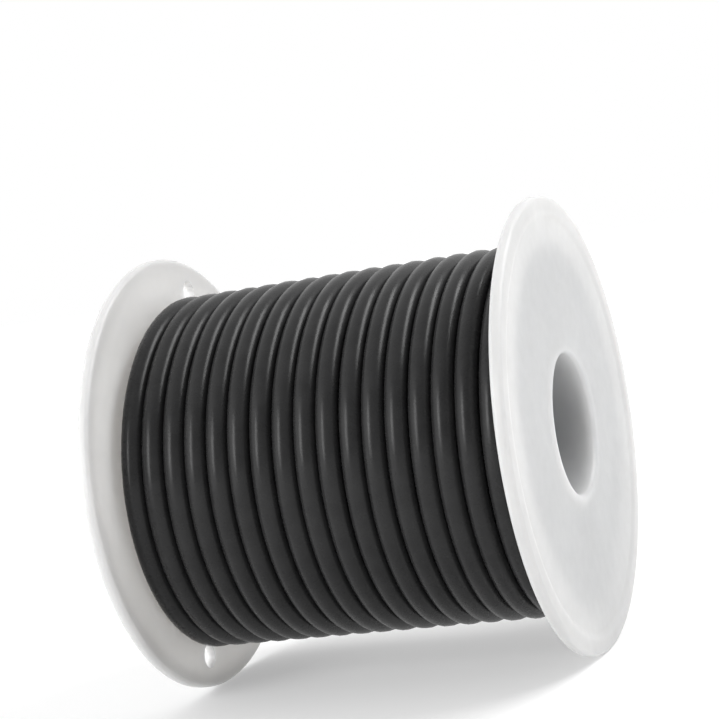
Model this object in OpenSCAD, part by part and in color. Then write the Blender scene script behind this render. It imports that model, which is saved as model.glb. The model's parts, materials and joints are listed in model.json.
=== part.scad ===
// Wire spool: two moulded flanges plugged into a barrel tube, wound with four
// nested layers of stranded, insulated wire. The spool turns about X, +Z is up,
// and the origin is the centre of the arbor bore. Millimetres.

/* [Spool] */
// Diameter of both flanges
flange_d = 88.9; // [88:0.1:92]
// Width of the spool over its two rims
spool_w = 84.6; // [84.6:0.1:90]
// Diameter of the arbor bore
bore_d = 27.4; // [24:0.1:28]
// Outside diameter of the barrel that the wire is wound on
barrel_d = 39.4; // [39:0.1:39.4]

/* [Flange] */
// Thickness of the rim
rim_t = 2.4; // [2.2:0.1:2.4]
// Radial width of the raised rim on the outer face
rim_band = 3.2; // [2.4:0.1:3.4]
// Radius of the two outer edges of the rim
rim_edge_r = 0.8; // [0.5:0.1:1]
// Thickness of the flange plate
plate_t = 2; // [1.4:0.1:2.1]
// Length of the boss that plugs into the barrel
boss_len = 7; // [5:0.5:12]
// Wall of that boss
boss_wall = 2.8; // [2:0.1:3]
// Radius of the rounded mouth of the bore
mouth_r = 0.8; // [0.5:0.1:1.2]
// How far the mouth of the bore stands out of the plate
mouth_rise = 0.2; // [0.1:0.1:0.2]

/* [Holes for the wire ends] */
// Diameter of the tie holes near the rim
tie_hole_d = 4.9; // [4.8:0.1:5.2]
// Distance of the tie holes from the spool's axis
tie_hole_r = 38.2; // [38:0.1:38.4]
// Width of the start slot beside the barrel
start_slot_w = 5.2; // [5:0.1:5.6]
// Length of the start slot, end to end
start_slot_len = 26; // [25:0.5:28]

/* [Wire] */
// Outside diameter of the insulation
wire_d = 4.5; // [4.2:0.1:4.5]
// Distance between neighbouring turns
wire_pitch = 4.55; // [4.5:0.01:4.56]
// Turns in each layer
turns = 17; // [12:1:17]
// Layers of wire on the barrel
layers = 4; // [2:2:4]
// Diameter of one copper strand
strand_d = 0.57; // [0.4:0.01:0.57]
// How far the strands stand out of a cut end
strand_out = 1; // [0.4:0.1:1.5]

/* [Hidden] */
$fn = 96;

flange_r = flange_d / 2;
bore_r = bore_d / 2;
barrel_r = barrel_d / 2;
boss_r = bore_r + boss_wall;
wire_r = wire_d / 2;
half_w = spool_w / 2;
face_in_x = half_w - rim_t;           // inner face of a flange
plate_out_x = face_in_x + plate_t;    // outer face of the flange plate
mouth_out_x = plate_out_x + mouth_rise;
rim_run = 3 * (rim_t - plate_t);      // radial run of the gentle slope up to the rim
bead_in_r = flange_r - rim_band;      // where the raised rim begins
// Each layer lies in the grooves of the one below it.
layer_step = sqrt(pow(wire_d, 2) - pow(wire_pitch / 2, 2));
winding_r = barrel_r + wire_d + (layers - 1) * layer_step;
winding_w = (turns - 0.5) * wire_pitch + wire_d;
first_lane_r = barrel_r + wire_r;

// Angles about the spool's axis, from +Z towards +Y.
tie_hole_angles = [17, 105, 193];
start_angle = 75;                     // where the first turn begins
slot_past_start = 4;                  // how far the start slot runs past that point

// The wire's start, from its cut end outside the left flange, through the start
// slot, to the side of the winding.
start_route = [
    [-46.6, 30.4, -28.6], [-45.8, 28.8, -22.8], [-45.0, 27.3, -17.2], [-44.3, 25.8, -11.6],
    [-43.4, 24.3, -6.2], [-42.0, 23.0, -1.4], [-40.2, 22.0, 2.4], [-38.6, 21.2, 5.4]];
// The wire's free end, from the top of the winding, across it and out through a tie
// hole, to its cut end.
free_route = [
    [-34.6, 14.2, -35.5], [-33.4, 17.8, -33.8], [-32.1, 21.2, -31.8], [-30.8, 24.5, -29.3],
    [-29.8, 27.6, -26.4], [-29.2, 30.2, -23.3], [-29.0, 32.6, -20.0], [-29.8, 34.6, -16.3],
    [-32.2, 35.9, -13.0], [-35.8, 36.7, -10.7], [-40.0, 36.9, -9.9], [-43.8, 36.9, -9.9],
    [-47.6, 36.9, -10.0], [-51.4, 36.8, -10.3]];

TUBE_SIDES = 8;
STEPS = 3;                            // rings from one point of a route to the next
SPOOL_WHITE = [0.90, 0.90, 0.88];
BARREL_WHITE = [0.84, 0.84, 0.82];
JACKET_BLACK = [0.09, 0.09, 0.09];
COPPER = [0.78, 0.42, 0.24];

// ---- Sweeping a round tube along a route -------------------------------------
function clamp_at(p, i) = p[min(max(i, 0), len(p) - 1)];

// Catmull-Rom point between p[i] and p[i + 1].
function between(p, i, t) =
    let (a = clamp_at(p, i - 1), b = p[i], c = clamp_at(p, i + 1), d = clamp_at(p, i + 2))
    0.5 * (2 * b + (c - a) * t + (2 * a - 5 * b + 4 * c - d) * pow(t, 2)
           + (3 * b - a - 3 * c + d) * pow(t, 3));

function smooth_route(p) = concat(
    [for (i = [0 : len(p) - 2], k = [0 : STEPS - 1]) between(p, i, k / STEPS)],
    [p[len(p) - 1]]);

function unit(v) = v / norm(v);
function heading(p, i) = unit(clamp_at(p, i + 1) - clamp_at(p, i - 1));

// A direction across each ring, carried along the route so that the rings don't twist.
function carried(p, i, side) =
    i == len(p) ? [] :
    let (h = heading(p, i), s = unit(side - (side * h) * h))
    concat([s], carried(p, i + 1, s));

module swept_tube(route, d) {
    p = smooth_route(route);
    sides = carried(p, 0, [0.2, 1, 0.3]);
    rings = len(p);
    points = [for (i = [0 : rings - 1], k = [0 : TUBE_SIDES - 1])
        let (s = sides[i], u = cross(heading(p, i), s), a = 360 * k / TUBE_SIDES)
        p[i] + d / 2 * (cos(a) * s + sin(a) * u)];
    walls = [for (i = [0 : rings - 2], k = [0 : TUBE_SIDES - 1])
        let (n = (k + 1) % TUBE_SIDES, lo = i * TUBE_SIDES, hi = lo + TUBE_SIDES)
        each [[lo + k, hi + k, hi + n], [lo + k, hi + n, lo + n]]];
    first_cap = [for (k = [0 : TUBE_SIDES - 1]) k];
    last_cap = [for (k = [TUBE_SIDES - 1 : -1 : 0]) (rings - 1) * TUBE_SIDES + k];
    polyhedron(points, concat(walls, [first_cap, last_cap]));
}

// ---- Spool ---------------------------------------------------------------------
// Half section of a flange, with the distance from the axis across and the distance
// from the spool's middle up.
module flange_section() {
    edge_r = flange_r - rim_edge_r;
    mouth_mid = [bore_r + mouth_r, mouth_out_x - mouth_r];
    // boss that plugs into the barrel, flat plate, and raised rim with a sloping inner side
    polygon([[bore_r, face_in_x - boss_len], [boss_r, face_in_x - boss_len], [boss_r, face_in_x],
             [edge_r, face_in_x], [edge_r, half_w], [bead_in_r, half_w],
             [bead_in_r - rim_run, plate_out_x], [mouth_mid[0], plate_out_x], mouth_mid,
             [bore_r, mouth_mid[1]]]);
    // rounded outer edge
    translate([edge_r - rim_edge_r, face_in_x + rim_edge_r])
        square([2 * rim_edge_r, rim_t - 2 * rim_edge_r]);
    for (x = [face_in_x + rim_edge_r, half_w - rim_edge_r])
        translate([edge_r, x]) circle(rim_edge_r);
    // rounded mouth of the bore
    translate(mouth_mid) circle(mouth_r);
}

module plain_flange() {
    rotate([0, 90, 0]) rotate_extrude() flange_section();
}

module right_flange() {
    color(SPOOL_WHITE) plain_flange();
}

// Places a cutter across the left flange, at that distance and angle about the axis.
// The cutter's own +Z is the spool's +X, and its +Y runs around the axis.
module across_left(r, angle) {
    translate([-half_w - 1, r * sin(angle), r * cos(angle)])
        rotate([-angle, 0, 0]) rotate([0, 90, 0]) children();
}

module start_slot() {
    cut = rim_t + 2;
    end_r = start_slot_w / 2;
    from = slot_past_start - start_slot_len + end_r;
    to = slot_past_start - end_r;
    for (y = [-from, -to]) translate([0, y, 0]) cylinder(r = end_r, h = cut);
    translate([-end_r, -to, 0]) cube([start_slot_w, to - from, cut]);
}

module left_flange() {
    color(SPOOL_WHITE) difference() {
        mirror([1, 0, 0]) plain_flange();
        for (angle = tie_hole_angles)
            across_left(tie_hole_r, angle) cylinder(d = tie_hole_d, h = rim_t + 2);
        across_left(first_lane_r, start_angle) start_slot();
    }
}

module barrel_tube() {
    color(BARREL_WHITE) rotate([0, 90, 0]) difference() {
        cylinder(r = barrel_r, h = 2 * face_in_x, center = true);
        cylinder(r = boss_r, h = 2 * face_in_x + 2, center = true);
    }
}

// ---- Wire ----------------------------------------------------------------------
module wire_winding() {
    color(JACKET_BLACK) rotate([0, 90, 0]) rotate_extrude()
        translate([barrel_r, -winding_w / 2]) square([winding_r - barrel_r, winding_w]);
}

// The start tail is cut off flush with the side of the winding.
module wire_start_tail() {
    color(JACKET_BLACK) difference() {
        swept_tube(start_route, wire_d);
        translate([-winding_w / 2, 0, -flange_r]) cube(flange_d);
    }
}

module wire_free_tail() {
    color(JACKET_BLACK) swept_tube(free_route, wire_d);
}

// The tips of the nineteen strands, laid as one, six and twelve, at the cut end of a
// route that runs through "inner" to "tip".
module strand_tips(inner, tip) {
    h = unit(tip - inner);
    translate(tip)
        rotate([0, acos(h[2]), atan2(h[1], h[0])])
            for (ring = [0 : 2], k = [0 : max(0, 6 * ring - 1)])
                rotate([0, 0, ring == 0 ? 0 : 60 * k / ring])
                    translate([ring * strand_d, 0, 0]) cylinder(d = strand_d * 0.97, h = strand_out);
}

module start_end_strands() {
    color(COPPER) strand_tips(start_route[1], start_route[0]);
}

module free_end_strands() {
    last = len(free_route) - 1;
    color(COPPER) strand_tips(free_route[last - 1], free_route[last]);
}

left_flange();
right_flange();
barrel_tube();
wire_winding();
wire_start_tail();
wire_free_tail();
start_end_strands();
free_end_strands();
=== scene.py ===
"""Looks of the wire spool: moulded translucent flanges on a barrel, close-wound with one length
of black stranded wire. The spool's axis is X, +Z is up, and everything is in metres."""
import json
import math
import random

import bmesh
import bpy
from mathutils import Matrix, Vector


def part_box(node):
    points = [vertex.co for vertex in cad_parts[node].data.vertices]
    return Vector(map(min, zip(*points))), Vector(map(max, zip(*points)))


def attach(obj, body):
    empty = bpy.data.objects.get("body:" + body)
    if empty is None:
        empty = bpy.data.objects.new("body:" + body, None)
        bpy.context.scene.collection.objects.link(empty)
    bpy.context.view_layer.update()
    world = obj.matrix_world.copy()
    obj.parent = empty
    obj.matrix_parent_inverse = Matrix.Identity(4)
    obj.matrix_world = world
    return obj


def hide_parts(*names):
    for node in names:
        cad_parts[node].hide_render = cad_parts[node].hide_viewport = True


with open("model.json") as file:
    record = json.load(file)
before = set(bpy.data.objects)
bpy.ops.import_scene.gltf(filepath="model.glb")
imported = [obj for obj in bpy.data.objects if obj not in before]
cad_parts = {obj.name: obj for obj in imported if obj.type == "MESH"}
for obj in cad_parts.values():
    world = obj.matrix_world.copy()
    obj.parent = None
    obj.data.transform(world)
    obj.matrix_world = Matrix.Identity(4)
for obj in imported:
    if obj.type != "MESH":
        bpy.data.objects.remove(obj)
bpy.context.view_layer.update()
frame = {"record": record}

random.seed(7)

MM = 0.001

# ---- Sizes, in metres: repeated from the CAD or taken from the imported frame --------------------
flange_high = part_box("right_flange")[1]
barrel_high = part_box("barrel_tube")[1]
FLANGE_R = flange_high.z     # both flanges
HALF_W = flange_high.x       # half the width over the rims
BARREL_R = barrel_high.z
FACE_IN = barrel_high.x      # inner face of a flange, where the barrel ends
BORE_R = frame["record"]["mounts"][0]["dims"]["r_mm"] * MM
PLATE_T = 2.0 * MM
RIM_BAND = 3.2 * MM          # width of the raised band at the rim
RIM_EDGE_R = 0.8 * MM
RIM_RUN = 1.2 * MM           # radial run of the gentle slope up to the rim
MOUTH_R = 0.8 * MM           # rounding of the bore's mouth
MOUTH_RISE = 0.2 * MM        # how far the mouth stands above the plate
BOSS_WALL = 2.8 * MM
BOSS_LEN = 7 * MM
TIE_HOLE_R = 2.45 * MM
TIE_HOLE_FROM_AXIS = 38.2 * MM
TIE_HOLE_ANGLES = (17, 105, 193)
START_SLOT_W = 5.2 * MM
START_SLOT_LEN = 26 * MM
START_ANGLE = 75             # about the axis from the top, where the first turn starts
SLOT_PAST_START = 4 * MM

WIRE_D = 4.5 * MM
WIRE_PITCH = 4.55 * MM
TURNS = 17
LAYERS = 4
FIRST_LANE_R = BARREL_R + WIRE_D / 2
STRAND_D = 0.57 * MM

# The two tails' routes, as in the CAD, in millimetres. The wire here joins the free end's route
# part of the way along, at FREE_JOINS_AT.
START_ROUTE = [
    (-46.6, 30.4, -28.6), (-45.8, 28.8, -22.8), (-45.0, 27.3, -17.2), (-44.3, 25.8, -11.6),
    (-43.4, 24.3, -6.2), (-42.0, 23.0, -1.4), (-40.2, 22.0, 2.4), (-38.6, 21.2, 5.4)]
FREE_ROUTE = [
    (-34.6, 14.2, -35.5), (-33.4, 17.8, -33.8), (-32.1, 21.2, -31.8), (-30.8, 24.5, -29.3),
    (-29.8, 27.6, -26.4), (-29.2, 30.2, -23.3), (-29.0, 32.6, -20.0), (-29.8, 34.6, -16.3),
    (-32.2, 35.9, -13.0), (-35.8, 36.7, -10.7), (-40.0, 36.9, -9.9), (-43.8, 36.9, -9.9),
    (-47.6, 36.9, -10.0), (-51.4, 36.8, -10.3)]

# ---- Camera ------------------------------------------------------------------------------------
CAMERA_AZIMUTH = 21.61       # degrees from straight in front, towards the right flange
CAMERA_ELEVATION = 4.0
CAMERA_ROLL = 9.75           # the spool's axis rises to the right in the picture
CAMERA_DISTANCE = 0.39504    # along the view, to the spool's middle
CAMERA_LENS = 98.68
SPOOL_RIGHT_OF_VIEW = 0.00282  # where the spool's middle sits off the view's centre
SPOOL_BELOW_VIEW = 0.01787


def make_camera():
    """A long lens at the photograph's viewing angle, rolled so that the spool's axis rises."""
    azimuth, elevation = math.radians(CAMERA_AZIMUTH), math.radians(CAMERA_ELEVATION)
    forward = Vector((-math.sin(azimuth) * math.cos(elevation),
                      math.cos(azimuth) * math.cos(elevation), -math.sin(elevation)))
    level_right = Vector((math.cos(azimuth), math.sin(azimuth), 0))
    level_up = level_right.cross(forward)
    roll = math.radians(CAMERA_ROLL)
    right = level_right * math.cos(roll) - level_up * math.sin(roll)
    up = level_right * math.sin(roll) + level_up * math.cos(roll)
    data = bpy.data.cameras.new("camera")
    data.lens = CAMERA_LENS
    data.sensor_width = 36
    data.clip_start = 0.01
    data.clip_end = 20
    camera = bpy.data.objects.new("camera", data)
    place = up * SPOOL_BELOW_VIEW - right * SPOOL_RIGHT_OF_VIEW - forward * CAMERA_DISTANCE
    turn = Matrix((right, up, -forward)).transposed()
    camera.matrix_world = Matrix.Translation(place) @ turn.to_4x4()
    bpy.context.scene.collection.objects.link(camera)
    bpy.context.scene.camera = camera


# ---- Materials ---------------------------------------------------------------------------------
# Two tints of each material, which a noise blends
FLANGE_TINTS = ((0.455, 0.457, 0.46), (0.485, 0.487, 0.489))
BARREL_TINTS = ((0.50, 0.50, 0.50), (0.54, 0.54, 0.54))
PVC_TINTS = ((0.018, 0.018, 0.0183), (0.022, 0.022, 0.0223))
COPPER_TINTS = ((0.72, 0.32, 0.17), (0.86, 0.46, 0.28))
FLOOR_TINTS = ((0.61, 0.61, 0.61), (0.63, 0.63, 0.63))

PLASTIC_IOR = 1.49
LIGHT_SPREAD = (1.0, 0.97, 0.93)     # red goes a little further into the plastic than blue
FLANGE_DEPTH = 10 * MM       # how deep light goes into the plate of a flange
BORE_DEPTH = 17 * MM         # the same about the bore, and in the barrel
BORE_DEPTH_TO = 0.4 * MM     # the depth about the bore holds this far out from its wall,
PLATE_DEPTH_FROM = 4 * MM    # and the plate's depth holds from here on
RIM_DEPTH_SHARE = 0.65       # the rim band's depth, as a share of the plate's
PVC_IOR = 1.25               # a low value, for the insulation's subdued shine
GRAIN_HEIGHT = 0.05 * MM     # of the fine bumps on plastic and insulation
FLOOR_GLOW = 0.35            # near the spool
FLOOR_GLOW_FAR = 0.75
FLOOR_GLOW_CHANGES = (0.15, 0.7)     # between these distances from the spool, in metres


def new_material(name):
    """An empty Principled material: (material, node tree, shader node)."""
    material = bpy.data.materials.new(name)
    material.use_nodes = True
    tree = material.node_tree
    return material, tree, tree.nodes["Principled BSDF"]


def noise(tree, scale, detail=3.0):
    """A noise in the piece's own coordinates."""
    coords = tree.nodes.new("ShaderNodeTexCoord")
    texture = tree.nodes.new("ShaderNodeTexNoise")
    texture.inputs["Scale"].default_value = scale
    texture.inputs["Detail"].default_value = detail
    tree.links.new(coords.outputs["Object"], texture.inputs["Vector"])
    return texture.outputs["Fac"]


def change(tree, value, start, stop, low, high):
    """Maps start to stop onto low to high, with both ends held."""
    mapped = tree.nodes.new("ShaderNodeMapRange")
    mapped.inputs["From Min"].default_value = start
    mapped.inputs["From Max"].default_value = stop
    mapped.inputs["To Min"].default_value = low
    mapped.inputs["To Max"].default_value = high
    tree.links.new(value, mapped.inputs["Value"])
    return mapped.outputs["Result"]


def spread(tree, value, low, high):
    """Maps a noise, whose values lie mostly between 0.3 and 0.7, to the range low to high."""
    return change(tree, value, 0.3, 0.7, low, high)


def distance_from_axis(tree):
    """How far a point of the spool is from the spool's own axis, X."""
    coords = tree.nodes.new("ShaderNodeTexCoord")
    across = tree.nodes.new("ShaderNodeVectorMath")
    across.operation = "MULTIPLY"
    across.inputs[1].default_value = (0, 1, 1)
    length = tree.nodes.new("ShaderNodeVectorMath")
    length.operation = "LENGTH"
    tree.links.new(coords.outputs["Object"], across.inputs[0])
    tree.links.new(across.outputs["Vector"], length.inputs[0])
    return length.outputs["Value"]


def blend_colours(tree, value, first, second):
    """The first colour where the noise is low, the second where it is high."""
    ramp = tree.nodes.new("ShaderNodeValToRGB")
    ramp.color_ramp.elements[0].position = 0.35
    ramp.color_ramp.elements[0].color = (*first, 1)
    ramp.color_ramp.elements[1].position = 0.65
    ramp.color_ramp.elements[1].color = (*second, 1)
    tree.links.new(value, ramp.inputs["Fac"])
    return ramp.outputs["Color"]


def bump(tree, shader, height, strength):
    """Fine bumps in the shader's surface, where that height rises."""
    node = tree.nodes.new("ShaderNodeBump")
    node.inputs["Strength"].default_value = strength
    node.inputs["Distance"].default_value = GRAIN_HEIGHT
    tree.links.new(height, node.inputs["Height"])
    tree.links.new(node.outputs["Normal"], shader.inputs["Normal"])


def milky_plastic(name, tints, depth):
    """Natural polypropylene: a cloudy white that light passes into. How deep it goes is set for
    the look: BORE_DEPTH about the bore, depth further out, and a share of that at the rim."""
    material, tree, shader = new_material(name)
    tree.links.new(blend_colours(tree, noise(tree, scale=60), *tints), shader.inputs["Base Color"])
    shader.inputs["Subsurface Weight"].default_value = 1.0
    shader.inputs["Subsurface Radius"].default_value = LIGHT_SPREAD
    shader.inputs["IOR"].default_value = PLASTIC_IOR
    from_axis = distance_from_axis(tree)
    depth_here = change(tree, from_axis, BORE_R + BORE_DEPTH_TO, BORE_R + PLATE_DEPTH_FROM,
                        BORE_DEPTH, depth)
    share = change(tree, from_axis, FLANGE_R - RIM_BAND, FLANGE_R - RIM_EDGE_R,
                   1.0, RIM_DEPTH_SHARE)
    scaled = tree.nodes.new("ShaderNodeMath")
    scaled.operation = "MULTIPLY"
    tree.links.new(depth_here, scaled.inputs[0])
    tree.links.new(share, scaled.inputs[1])
    tree.links.new(scaled.outputs["Value"], shader.inputs["Subsurface Scale"])
    roughness = spread(tree, noise(tree, scale=420), low=0.38, high=0.48)
    tree.links.new(roughness, shader.inputs["Roughness"])
    bump(tree, shader, noise(tree, scale=900, detail=2), strength=0.06)
    return material


def black_pvc():
    """Extruded black insulation: half glossy, with a faint grain."""
    material, tree, shader = new_material("black_pvc")
    tint = blend_colours(tree, noise(tree, scale=220), *PVC_TINTS)
    tree.links.new(tint, shader.inputs["Base Color"])
    roughness = spread(tree, noise(tree, scale=500), low=0.25, high=0.31)
    tree.links.new(roughness, shader.inputs["Roughness"])
    shader.inputs["IOR"].default_value = PVC_IOR
    bump(tree, shader, noise(tree, scale=650, detail=2), strength=0.10)
    return material


def copper_metal():
    """Cut copper strand, a little dulled in patches."""
    material, tree, shader = new_material("bare_copper")
    tint = blend_colours(tree, noise(tree, scale=900), *COPPER_TINTS)
    tree.links.new(tint, shader.inputs["Base Color"])
    shader.inputs["Metallic"].default_value = 1.0
    roughness = spread(tree, noise(tree, scale=1500), low=0.25, high=0.42)
    tree.links.new(roughness, shader.inputs["Roughness"])
    return material


def floor_material():
    """A plain white light table: matt, faintly mottled, and glowing more where it is far off, so
    that it runs into the white behind it without a line."""
    material, tree, shader = new_material("floor_white")
    tint = blend_colours(tree, noise(tree, scale=3), *FLOOR_TINTS)
    tree.links.new(tint, shader.inputs["Base Color"])
    shader.inputs["Roughness"].default_value = 0.9
    shader.inputs["Specular IOR Level"].default_value = 0.1
    shader.inputs["Emission Color"].default_value = (1, 1, 1, 1)
    coords = tree.nodes.new("ShaderNodeTexCoord")
    away = tree.nodes.new("ShaderNodeVectorMath")
    away.operation = "LENGTH"
    tree.links.new(coords.outputs["Object"], away.inputs[0])
    glow = change(tree, away.outputs["Value"], *FLOOR_GLOW_CHANGES, FLOOR_GLOW, FLOOR_GLOW_FAR)
    tree.links.new(glow, shader.inputs["Emission Strength"])
    return material


# ---- Mesh helpers ------------------------------------------------------------------------------
SHARP_ANGLE = 40             # edges bent by more degrees than this are shaded sharp


def shade_smooth(mesh):
    """Shades the mesh smooth, apart from its sharp edges."""
    mesh.polygons.foreach_set("use_smooth", [True] * len(mesh.polygons))
    mesh.set_sharp_from_angle(angle=math.radians(SHARP_ANGLE))


def add_piece(name, mesh, material, slot, *stands_for):
    """Links a mesh as a named piece of the spool, which stands for those CAD nodes."""
    piece = bpy.data.objects.new(name, mesh)
    bpy.context.scene.collection.objects.link(piece)
    mesh.materials.append(material)
    shade_smooth(mesh)
    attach(piece, "root")
    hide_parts(*stands_for)
    return piece


def join_rings(bm, low, high):
    """A band of faces between two closed rings of as many points."""
    count = len(low)
    for i in range(count):
        n = (i + 1) % count
        bm.faces.new((low[i], low[n], high[n], high[i]))


def mesh_from(bm, name):
    """Makes a mesh, with its faces turned outward, and lets go of the bmesh."""
    bmesh.ops.recalc_face_normals(bm, faces=bm.faces)
    mesh = bpy.data.meshes.new(name)
    bm.to_mesh(mesh)
    bm.free()
    return mesh


def rounded(corners, steps):
    """A closed profile from (r, x, fillet) corners, with each fillet drawn in that many steps."""
    profile = []
    count = len(corners)
    for i, (r, x, fillet) in enumerate(corners):
        here = Vector((r, x))
        if fillet == 0:
            profile.append((r, x))
            continue
        back = (Vector(corners[i - 1][:2]) - here).normalized()
        ahead = (Vector(corners[(i + 1) % count][:2]) - here).normalized()
        half = back.angle(ahead) / 2
        reach = fillet / math.tan(half)
        centre = here + (back + ahead).normalized() * fillet / math.sin(half)
        first = here + back * reach - centre
        last = here + ahead * reach - centre
        swing = first.angle_signed(last)
        for k in range(steps + 1):
            turned = Matrix.Rotation(-swing * k / steps, 2) @ first
            profile.append(tuple(centre + turned))
    return profile


def lathe(name, profile, steps, mirror=False):
    """Turns a closed profile of (distance from the axis, place along X) points about X."""
    bm = bmesh.new()
    side = -1 if mirror else 1
    rings = []
    for i in range(steps):
        angle = 2 * math.pi * i / steps
        rings.append([bm.verts.new((side * x, r * math.sin(angle), r * math.cos(angle)))
                      for r, x in profile])
    for i in range(steps):
        join_rings(bm, rings[i], rings[(i + 1) % steps])
    return mesh_from(bm, name)


# ---- The wire's route --------------------------------------------------------------------------
STEP = 5                     # degrees between the route's points
PER_TURN = 360 // STEP
JOG_FROM = 110               # where the first layer's turns step over to the next lane, at the
JOG_SPAN = 50                # hidden back of the spool, and over how many degrees
JOG_SHIFT = 20               # each layer's jogs come this much earlier, clear of the climbs
CLIMB_LEAD = 40              # the wire moves up against the flange before it climbs a layer
PRESSED = 0.15 * MM          # how far soft neighbours in one layer may press into each other
LANE_DRIFT = 0.09 * MM       # how unevenly the outermost turns lie
SWAY_SHARE = 0.4             # how much of that changes on the way round a turn
OUTER_SLANT = 0.5            # the outermost turns move on by this much of a lane down the front
FREE_RISE_FROM = 181         # the last turn climbs onto the winding between these angles
FREE_RISE_TO = 122
FREE_RISE_PACE = 1.5         # climb first, then move over: each takes 1 / 1.5 of that stretch
FREE_JOINS_AT = 6            # the point of the free end's route where the climb ends
TAIL_STEPS = 3               # points of the wire to each point of a tail's route
SOFTEN_TURNS = 8             # how many times the turns are evened out,
SOFTEN_RISE = 3              # and the last turn's climb, the free end's lift and the joins
SOFTEN_LIFT = 10
SOFTEN_JOIN = 4
START_JOIN = (4, 3)          # points before and after each join that are evened out
FREE_JOIN = (3, 14)


def ease(t):
    """A soft start and stop: 0 up to t = 0, and 1 from t = 1 on."""
    t = min(max(t, 0.0), 1.0)
    return t * t * (3 - 2 * t)


def around_axis(x, radius, degrees):
    """A point of the row frame from its place along the axis, distance from it and angle."""
    angle = math.radians(degrees)
    return Vector((x, radius * math.sin(angle), radius * math.cos(angle)))


def lane(layer, turn):
    """Where along the axis a turn lies. Odd layers come back from the right flange."""
    side = 1 if layer % 2 == 0 else -1
    return side * (turn - (TURNS - 0.5) / 2) * WIRE_PITCH


def resting_radius(x, laid):
    """How far from the axis a wire at x rests on the wires that are there already."""
    radius = FIRST_LANE_R
    for other_x, other_r in laid:
        gap = abs(x - other_x)
        if gap < WIRE_D - PRESSED:
            radius = max(radius, other_r + math.sqrt(WIRE_D ** 2 - gap ** 2))
    return radius


def slant(angle):
    """How far along its slant an outermost turn is: 0 over the top, 1 from the bottom on."""
    if -180 <= angle <= 0:
        return (1 - math.cos(math.radians(angle))) / 2
    return 1 if angle < -180 else 0


def lane_moves():
    """The sideways moves in order: (degrees wound before it, its span, from x, to x, turn)."""
    moves = [(0, JOG_SPAN, lane(0, -1), lane(0, 0), 0)]
    for layer in range(LAYERS):
        early = JOG_SHIFT * layer
        wound = 360 * TURNS * layer
        if layer:
            moves.append((wound - early + JOG_SHIFT - CLIMB_LEAD, CLIMB_LEAD,
                          lane(layer - 1, TURNS - 1), lane(layer, 0), 0))
        for turn in range(1, TURNS):
            moves.append((wound - early + 360 * turn, JOG_SPAN,
                          lane(layer, turn - 1), lane(layer, turn), turn))
    return moves


def winding_route():
    """All the turns from the start slot to where the free end leaves the winding.
    A place is (x, radius, angle). Also returns what is laid at each angle."""
    moves = lane_moves()
    laid = [[] for _ in range(PER_TURN)]
    drift = [[random.uniform(-LANE_DRIFT, LANE_DRIFT) for _ in range(3)] for _ in range(TURNS)]
    outer_from = 360 * TURNS * (LAYERS - 1) - JOG_SHIFT * (LAYERS - 2)
    total = 360 * TURNS * LAYERS + JOG_FROM - FREE_RISE_TO
    wound = []
    current = 0
    for done in range(JOG_FROM - START_ANGLE, total, STEP):
        while current + 1 < len(moves) and done >= moves[current + 1][0]:
            current += 1
        begins, span, x_before, x_after, turn = moves[current]
        angle = JOG_FROM - done
        moved = ease((done - begins) / span)
        if done >= outer_from and turn:
            x_before -= OUTER_SLANT * WIRE_PITCH
        x = x_before + (x_after - x_before) * moved
        if done >= outer_from:
            lap_angle = (JOG_FROM - begins) % 360 - (done - begins)
            x -= OUTER_SLANT * WIRE_PITCH * slant(lap_angle)
            sway = math.radians(angle)
            a, b, c = drift[turn]
            x += (a + SWAY_SHARE * b * math.sin(sway) + SWAY_SHARE * c * math.cos(sway)) * moved
        here = laid[done // STEP % PER_TURN]
        radius = resting_radius(x, here)
        here.append((x, radius))
        wound.append((x, radius, angle))
    return wound, laid


def soften(places, rounds):
    """Evens out (x, radius, angle) places without drawing them in towards the axis."""
    for _ in range(rounds):
        kept = list(places)
        for i in range(1, len(kept) - 1):
            x = (kept[i - 1][0] + 2 * kept[i][0] + kept[i + 1][0]) / 4
            r = (kept[i - 1][1] + 2 * kept[i][1] + kept[i + 1][1]) / 4
            places[i] = (x, r, kept[i][2])
    return places


def rise_to_free_end(wound, laid):
    """The end of the last turn climbs onto its neighbours and over them to the free end's route."""
    steps = (FREE_RISE_FROM - FREE_RISE_TO) // STEP
    free_x, free_y, free_z = (value * MM for value in FREE_ROUTE[FREE_JOINS_AT])
    free_r = math.hypot(free_y, free_z)
    for k in range(steps):
        x, r, angle = wound[k - steps]
        share = (k + 1) / steps
        x += (free_x - x) * ease(FREE_RISE_PACE * (share - 1) + 1)
        r += (free_r - r) * ease(FREE_RISE_PACE * share)
        neighbours = laid[(JOG_FROM - angle) // STEP % PER_TURN][:-1]
        wound[k - steps] = (x, max(r, resting_radius(x, neighbours)), angle)
    wound[-steps - 2:] = soften(wound[-steps - 2:], SOFTEN_RISE)


def smooth_route(points):
    """A curve through listed points, given in millimetres."""
    route = [Vector(p) * MM for p in points]
    last = len(route) - 1
    made = []
    for i in range(last):
        a, b = route[max(i - 1, 0)], route[i]
        c, d = route[i + 1], route[min(i + 2, last)]
        for k in range(TAIL_STEPS):
            t = k / TAIL_STEPS
            made.append(0.5 * (2 * b + (c - a) * t + (2 * a - 5 * b + 4 * c - d) * t ** 2
                               + (3 * b - a - 3 * c + d) * t ** 3))
    return made + [route[last]]


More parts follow.
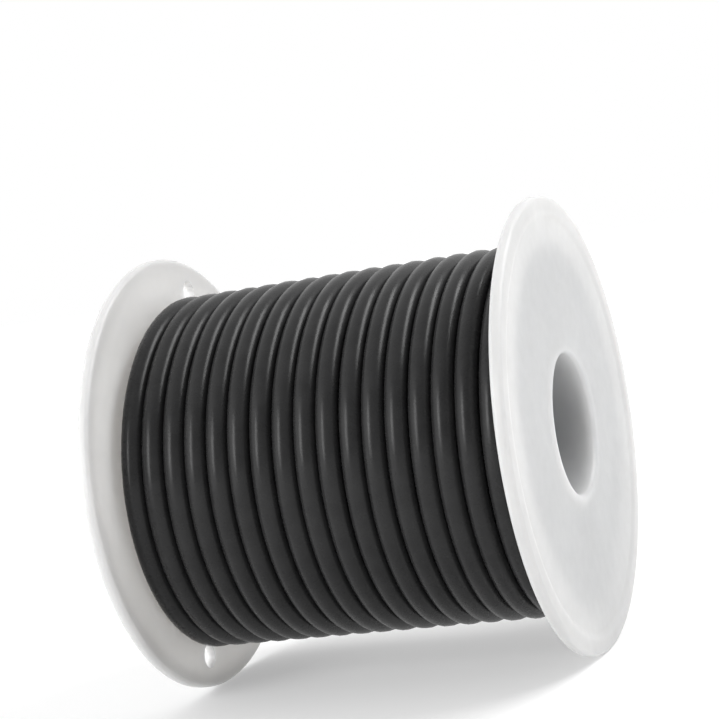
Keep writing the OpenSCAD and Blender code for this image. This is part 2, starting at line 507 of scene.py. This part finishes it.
def lift_over(points, laid):
    """Lifts the free end where it would sink into the turns that it crosses."""
    lifts = []
    for point in points:
        angle = math.degrees(math.atan2(point.y, point.z))
        radius = math.hypot(point.y, point.z)
        needed = 0
        if point.x > -(FACE_IN - WIRE_D / 2):
            place = round((JOG_FROM - angle) / STEP) % PER_TURN
            needed = max(resting_radius(point.x, laid[place]) - radius, 0)
        lifts.append(needed)
    for _ in range(SOFTEN_LIFT):
        lifts = [(lifts[max(i - 1, 0)] + 2 * lifts[i] + lifts[min(i + 1, len(lifts) - 1)]) / 4
                 for i in range(len(lifts))]
    return [point + Vector((0, point.y, point.z)).normalized() * lift
            for point, lift in zip(points, lifts)]


def relax(points, join, before, after):
    """Evens out the join between two stretches of a route."""
    for _ in range(SOFTEN_JOIN):
        points[join - before:join + after] = [
            (points[i - 1] + points[i] * 2 + points[i + 1]) / 4
            for i in range(join - before, join + after)]


def wire_route():
    """The whole wire's middle line, from one cut end to the other."""
    wound, laid = winding_route()
    soften(wound, SOFTEN_TURNS)
    rise_to_free_end(wound, laid)
    start = smooth_route(START_ROUTE)
    turns = [around_axis(*place) for place in wound]
    free = lift_over(smooth_route(FREE_ROUTE[FREE_JOINS_AT:]), laid)
    points = start[:-1] + turns + free[1:]
    relax(points, len(start), *START_JOIN)
    relax(points, len(start) + len(turns), *FREE_JOIN)
    return points


def make_wire(material):
    """The whole wire as one round-section curve."""
    points = wire_route()
    curve = bpy.data.curves.new("wire", "CURVE")
    curve.dimensions = "3D"
    curve.bevel_depth = WIRE_D / 2
    curve.bevel_resolution = 6
    curve.use_fill_caps = True
    spline = curve.splines.new("POLY")
    spline.points.add(len(points) - 1)
    for place, point in zip(spline.points, points):
        place.co = (*point, 1)
    spline.use_smooth = True
    curve.materials.append(material)
    wire = bpy.data.objects.new("wire", curve)
    bpy.context.scene.collection.objects.link(wire)
    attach(wire, "root")
    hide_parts("wire_winding", "wire_start_tail", "wire_free_tail")
    return wire, points


# ---- Cut ends ----------------------------------------------------------------------------------
STRAND_OUT = 1.0 * MM        # bare strands past the insulation
STRAND_SHORTEST = 0.86       # the shortest strand, as a share of that
STRAND_LAYERS = ((1, 0.0), (6, 1.0), (12, 1.93))   # strands in each, and its radius in diameters
STRAND_TWIST = 14            # degrees about the wire's middle, over the bare length
STRAND_SIDES = 14
# Rings along a strand, from inside the insulation to its tapered tip: the ring's place as a share
# of the bare length, how far it is moved from there, and its share of the strand's radius
STRAND_SHAPE = ((0, -0.4 * MM, 1), (0, 0, 1), (0.25, 0, 1), (0.5, 0, 1),
                (0.75, -0.07 * MM, 1), (1, 0, 0.72))


def directions_round(across, other, count):
    """Directions evenly round a circle, given two directions at right angles to each other."""
    angles = [2 * math.pi * i / count for i in range(count)]
    return [across * math.cos(angle) + other * math.sin(angle) for angle in angles]


def strand_bundle(name, tip, outward, material, stands_for):
    """Nineteen round strands, slightly twisted, standing out of the insulation's cut end."""
    across = outward.cross(Vector((0, 0, 1))).normalized()
    other = outward.cross(across)
    bm = bmesh.new()
    for count, spacing in STRAND_LAYERS:
        for i in range(count):
            length = STRAND_OUT * random.uniform(STRAND_SHORTEST, 1.0)
            rings = []
            for share, moved, width in STRAND_SHAPE:
                turn = math.radians(360 * i / count + STRAND_TWIST * share)
                off_axis = (across * math.cos(turn) + other * math.sin(turn)) * spacing * STRAND_D
                middle = tip + outward * (length * share + moved) + off_axis
                rings.append([bm.verts.new(middle + side * STRAND_D / 2 * width)
                              for side in directions_round(across, other, STRAND_SIDES)])
            for low, high in zip(rings, rings[1:]):
                join_rings(bm, low, high)
            bm.faces.new(rings[0])
            bm.faces.new(rings[-1])
    return add_piece(name, mesh_from(bm, name), material, "copper", stands_for)


# ---- Flanges and barrel ------------------------------------------------------------------------
FLANGE_STEPS = 360           # steps round a flange
BARREL_STEPS = 180
MOUTH_FLAT = 1.4 * MM        # width of the level ring about the bore, rounding included
MOUTH_RAMP = 1.8 * MM        # run of the slope from that ring down to the plate
MOUTH_RAMP_TOP_R = 4 * MM    # how gently that slope starts
MOUTH_RAMP_FOOT_R = 8 * MM   # and ends
RIM_SLOPE_R = 3 * MM         # the same at both ends of the slope up to the rim
BOSS_TIP_R = (0.25 * MM, 0.3 * MM)   # rounding of the boss's end, inside and outside
BARREL_TIP_R = 0.2 * MM
CUTTER_SIDES = 64
CUTTER_LEN = 6 * MM          # goes right through a flange's plate


def flange_profile():
    """Half section of a flange: boss, plate, raised rim band and the bore's swollen mouth. The
    flat inner face has two corners of its own, near its ends, which keep its long faces plane."""
    plate_out = FACE_IN + PLATE_T
    mouth_out = plate_out + MOUTH_RISE
    boss_r = BORE_R + BOSS_WALL
    band_in = FLANGE_R - RIM_BAND
    return rounded([
        (BORE_R, FACE_IN - BOSS_LEN, BOSS_TIP_R[0]),
        (boss_r, FACE_IN - BOSS_LEN, BOSS_TIP_R[1]),
        (boss_r, FACE_IN, 0),
        (boss_r + 1 * MM, FACE_IN, 0),
        (FLANGE_R - 2 * MM, FACE_IN, 0),
        (FLANGE_R, FACE_IN, RIM_EDGE_R),
        (FLANGE_R, HALF_W, RIM_EDGE_R),
        (band_in, HALF_W, RIM_SLOPE_R),
        (band_in - RIM_RUN, plate_out, RIM_SLOPE_R),
        (BORE_R + MOUTH_FLAT + MOUTH_RAMP, plate_out, MOUTH_RAMP_FOOT_R),
        (BORE_R + MOUTH_FLAT, mouth_out, MOUTH_RAMP_TOP_R),
        (BORE_R, mouth_out, MOUTH_R)], steps=8)


def cut(piece, cutter):
    """Takes the cutter's shape out of the piece, then drops the cutter."""
    modifier = piece.modifiers.new("cut", "BOOLEAN")
    modifier.operation = "DIFFERENCE"
    modifier.solver = "EXACT"
    modifier.object = cutter
    bpy.context.view_layer.update()
    graph = bpy.context.evaluated_depsgraph_get()
    mesh = bpy.data.meshes.new_from_object(piece.evaluated_get(graph))
    piece.modifiers.clear()
    piece.data = mesh
    bpy.data.objects.remove(cutter)


def rod(name, middle, radius, slot_to=None):
    """A cutter along X: a rod, or with slot_to a rod drawn out into a slot with round ends."""
    bm = bmesh.new()
    far = slot_to or middle
    along = far - middle
    lean = math.atan2(along.z, along.y) if slot_to else 0
    rings = []
    for side in (-1, 1):
        ring = []
        for i in range(CUTTER_SIDES):
            angle = 2 * math.pi * (i + 0.5) / CUTTER_SIDES
            centre = far if math.cos(angle) > 0 else middle
            y = centre.y + radius * math.cos(angle + lean)
            z = centre.z + radius * math.sin(angle + lean)
            ring.append(bm.verts.new((centre.x + side * CUTTER_LEN / 2, y, z)))
        rings.append(ring)
    join_rings(bm, *rings)
    bm.faces.new(rings[0])
    bm.faces.new(rings[1])
    cutter = bpy.data.objects.new(name, mesh_from(bm, name))
    bpy.context.scene.collection.objects.link(cutter)
    return cutter


def make_flanges(material):
    """The two mouldings. Only the left one has the tie holes and the start slot."""
    profile = flange_profile()
    right = lathe("right_flange_moulding", profile, FLANGE_STEPS)
    add_piece("right_flange_moulding", right, material, "flange_plastic", "right_flange")

    left = lathe("left_flange_moulding", profile, FLANGE_STEPS, mirror=True)
    left = add_piece("left_flange_moulding", left, material, "flange_plastic", "left_flange")
    plate_x = -(FACE_IN + PLATE_T / 2)
    for angle in TIE_HOLE_ANGLES:
        middle = around_axis(plate_x, TIE_HOLE_FROM_AXIS, angle)
        cut(left, rod("tie_hole", middle, TIE_HOLE_R))
    # the slot runs straight, along the first turn's direction where it starts
    start = math.radians(START_ANGLE)
    first = around_axis(plate_x, FIRST_LANE_R, START_ANGLE)
    comes_from = Vector((0, math.cos(start), -math.sin(start)))
    inset = START_SLOT_W / 2
    low = first - comes_from * (SLOT_PAST_START - inset)
    high = first + comes_from * (START_SLOT_LEN - SLOT_PAST_START - inset)
    cut(left, rod("start_slot", low, inset, slot_to=high))
    shade_smooth(left.data)


def make_barrel(material):
    """The tube that the flanges' bosses plug into and the wire is wound on."""
    inner = BORE_R + BOSS_WALL
    corners = ((inner, -FACE_IN), (BARREL_R, -FACE_IN), (BARREL_R, FACE_IN), (inner, FACE_IN))
    profile = rounded([(r, x, BARREL_TIP_R) for r, x in corners], steps=3)
    tube = lathe("barrel", profile, BARREL_STEPS)
    add_piece("barrel", tube, material, "barrel_plastic", "barrel_tube")


# ---- Studio ------------------------------------------------------------------------------------
DARK_SIDE = (0.77, -0.64, 0)     # the direction in which the surroundings are darkest
DARK_LEVEL = 0.30
DARK_CHANGES = (-0.2, 0.75)      # from white to dark, between these cosines with that direction
HORIZON_CHANGES = (0.03, 0.12)   # the horizon's white ends between these sines of the height
FLOOR_HALF = 3.0                 # half a side of the floor
# Softboxes: name, place, direction of the long side, width and length in metres, and watts
LIGHTS = (
    ("right_strip", (0.42, 0.12, 0.52), (0.41, -0.83, -0.23), 0.20, 0.52, 3.5),
    ("left_strip", (-0.42, -0.75, 0.30), (0, 0, 1), 0.32, 0.42, 4.2),
    ("left_softbox", (-0.72, -0.50, 0.10), (0, 0, 1), 0.40, 0.95, 1.5))


def area_light(name, place, along, width, length, power):
    """A rectangular softbox at place that faces the spool, its long side along a direction."""
    data = bpy.data.lights.new(name, "AREA")
    data.shape = "RECTANGLE"
    data.size = width
    data.size_y = length
    data.energy = power
    light = bpy.data.objects.new(name, data)
    back = Vector(place).normalized()
    long_side = (Vector(along) - back * Vector(along).dot(back)).normalized()
    turn = Matrix((long_side.cross(back), long_side, back)).transposed()
    light.matrix_world = Matrix.Translation(place) @ turn.to_4x4()
    bpy.context.scene.collection.objects.link(light)


def make_floor():
    """The surface that the spool lies on, on its two rims."""
    corners = [(x * FLOOR_HALF, y * FLOOR_HALF, -FLANGE_R)
               for x, y in ((-1, -1), (1, -1), (1, 1), (-1, 1))]
    mesh = bpy.data.meshes.new("floor")
    mesh.from_pydata(corners, [], [range(4)])
    mesh.materials.append(floor_material())
    floor = bpy.data.objects.new("floor", mesh)
    bpy.context.scene.collection.objects.link(floor)


def make_world():
    """White all round, but darker in front and on the right, so that the black wire has depth.
    A low band along the horizon stays white, so that the dark doesn't show from the back."""
    world = bpy.data.worlds.new("studio")
    world.use_nodes = True
    tree = world.node_tree
    coords = tree.nodes.new("ShaderNodeTexCoord")
    toward = tree.nodes.new("ShaderNodeVectorMath")
    toward.operation = "DOT_PRODUCT"
    toward.inputs[1].default_value = DARK_SIDE
    tree.links.new(coords.outputs["Generated"], toward.inputs[0])
    level = change(tree, toward.outputs["Value"], *DARK_CHANGES, 1.0, DARK_LEVEL)
    height = tree.nodes.new("ShaderNodeSeparateXYZ")
    tree.links.new(coords.outputs["Generated"], height.inputs["Vector"])
    horizon = change(tree, height.outputs["Z"], *HORIZON_CHANGES, 1.0, DARK_LEVEL)
    lighter = tree.nodes.new("ShaderNodeMath")
    lighter.operation = "MAXIMUM"
    tree.links.new(level, lighter.inputs[0])
    tree.links.new(horizon, lighter.inputs[1])
    backdrop = tree.nodes["Background"]
    backdrop.inputs["Color"].default_value = (1, 1, 1, 1)
    tree.links.new(lighter.outputs["Value"], backdrop.inputs["Strength"])
    bpy.context.scene.world = world


def make_studio():
    """The surroundings, the softboxes and the floor."""
    make_world()
    bpy.context.scene.view_settings.view_transform = "Standard"
    for light in LIGHTS:
        area_light(*light)
    make_floor()


# ---- Build -------------------------------------------------------------------------------------
def main():
    """The camera and the wire come first."""
    make_camera()
    pvc = black_pvc()
    copper = copper_metal()
    flange_plastic = milky_plastic("milky_polypropylene", FLANGE_TINTS, FLANGE_DEPTH)
    barrel_plastic = milky_plastic("barrel_polypropylene", BARREL_TINTS, BORE_DEPTH)
    wire, points = make_wire(pvc)
    first = strand_bundle("start_strands", points[0], (points[0] - points[1]).normalized(),
                          copper, "start_end_strands")
    last = strand_bundle("free_strands", points[-1], (points[-1] - points[-2]).normalized(),
                         copper, "free_end_strands")
    make_flanges(flange_plastic)
    make_barrel(barrel_plastic)
    make_studio()


main()
